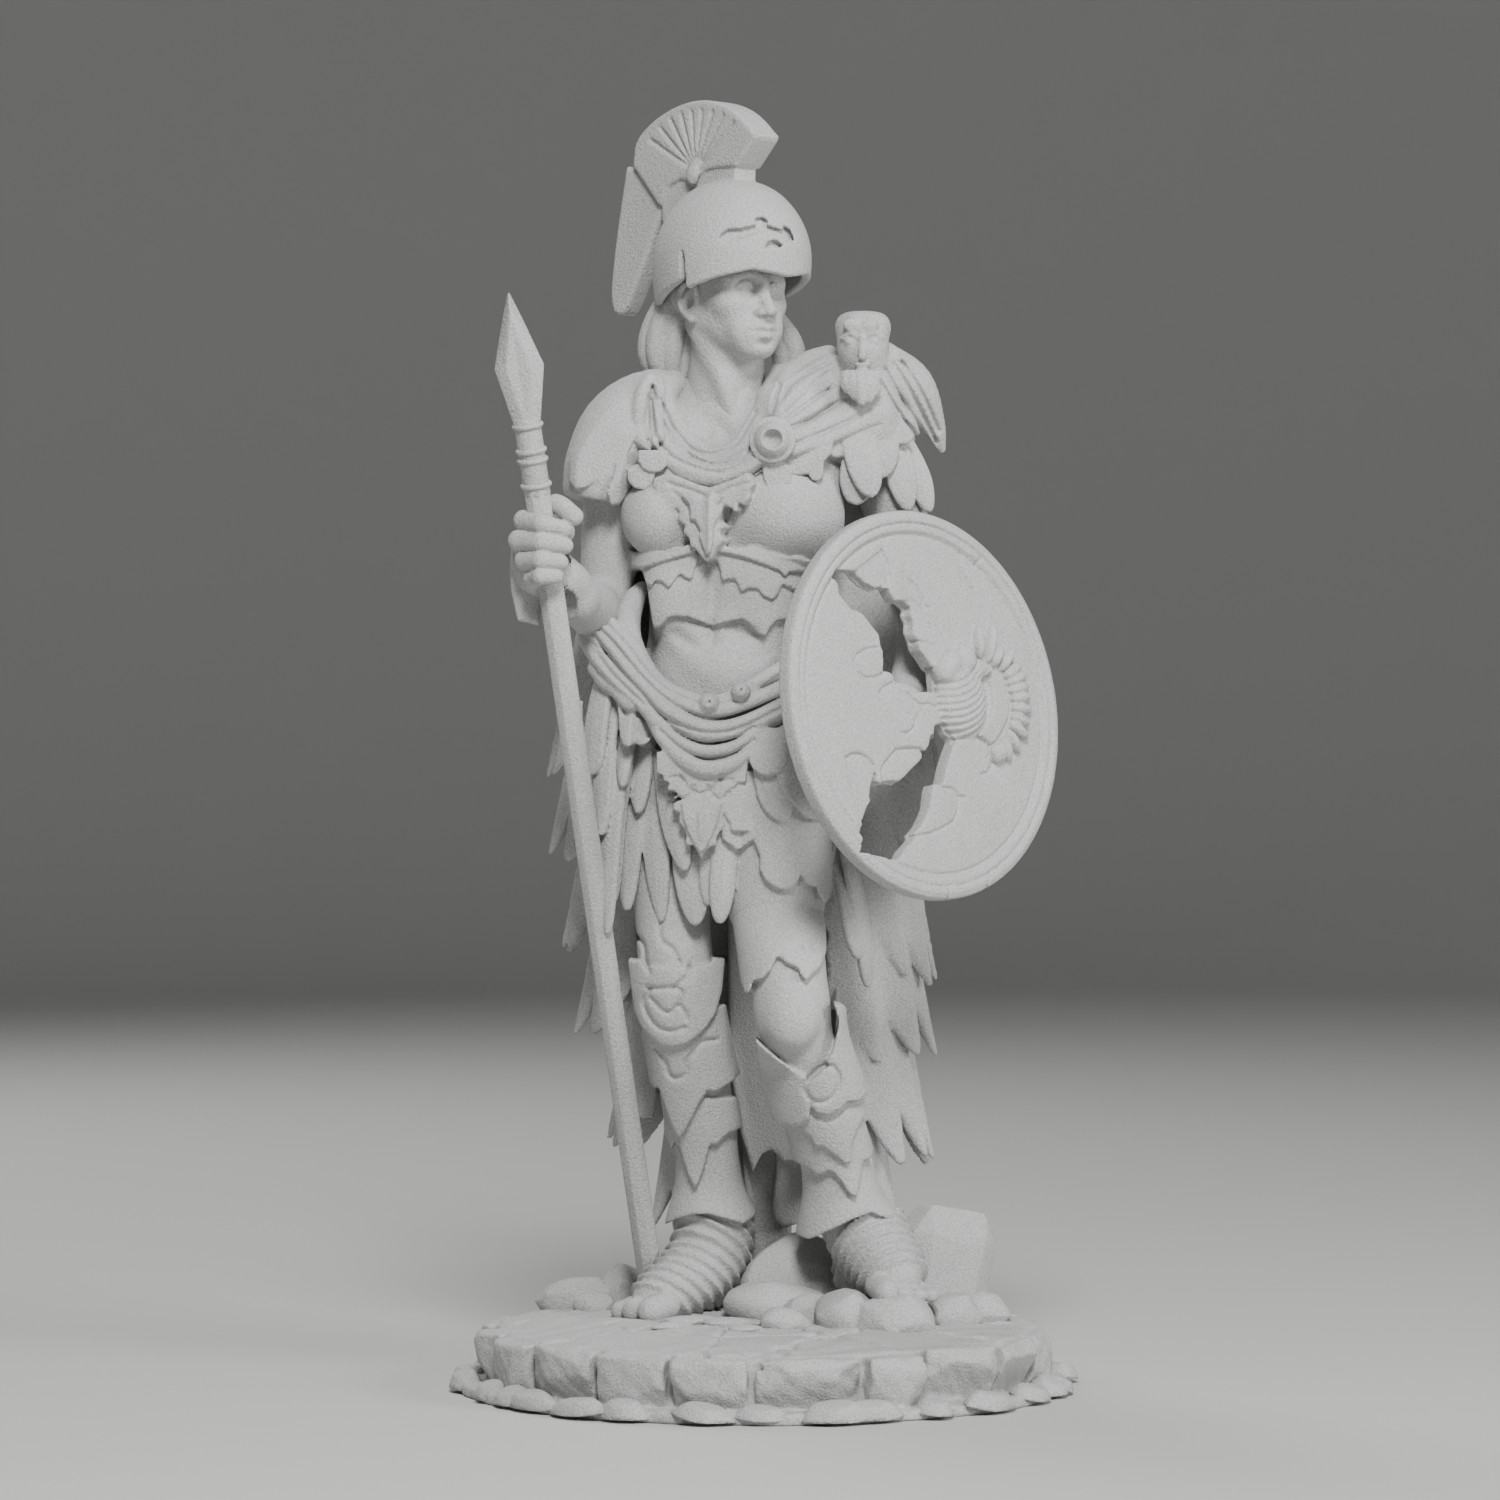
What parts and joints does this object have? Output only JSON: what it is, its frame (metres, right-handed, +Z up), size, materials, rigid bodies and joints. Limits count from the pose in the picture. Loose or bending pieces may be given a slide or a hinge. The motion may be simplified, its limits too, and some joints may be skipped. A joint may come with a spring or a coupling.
{
  "type": "warrior goddess statuette",
  "caption": "Standing helmeted warrior with a spear, a broken round shield, a layered cloak and a bird, on a rough stone base.",
  "frame": {"origin": "middle of the base's flat underside, 136 mm base circle", "axes": "+Z up; -Y ahead, the way the figure faces; +X to the viewer's right, the figure's left"},
  "size_m": [0.1493, 0.1488, 0.2998],
  "materials": {
    "plinth": "fine sandy cast resin, unpainted",
    "figure": "fine sandy cast resin, unpainted",
    "spear": "fine sandy cast resin, unpainted",
    "shield": "fine sandy cast resin, unpainted"
  },
  "bodies": {
    "root": {"plinth": "plinth", "figure": "figure", "spear": "spear", "shield": "shield"}
  },
  "joints": []
}
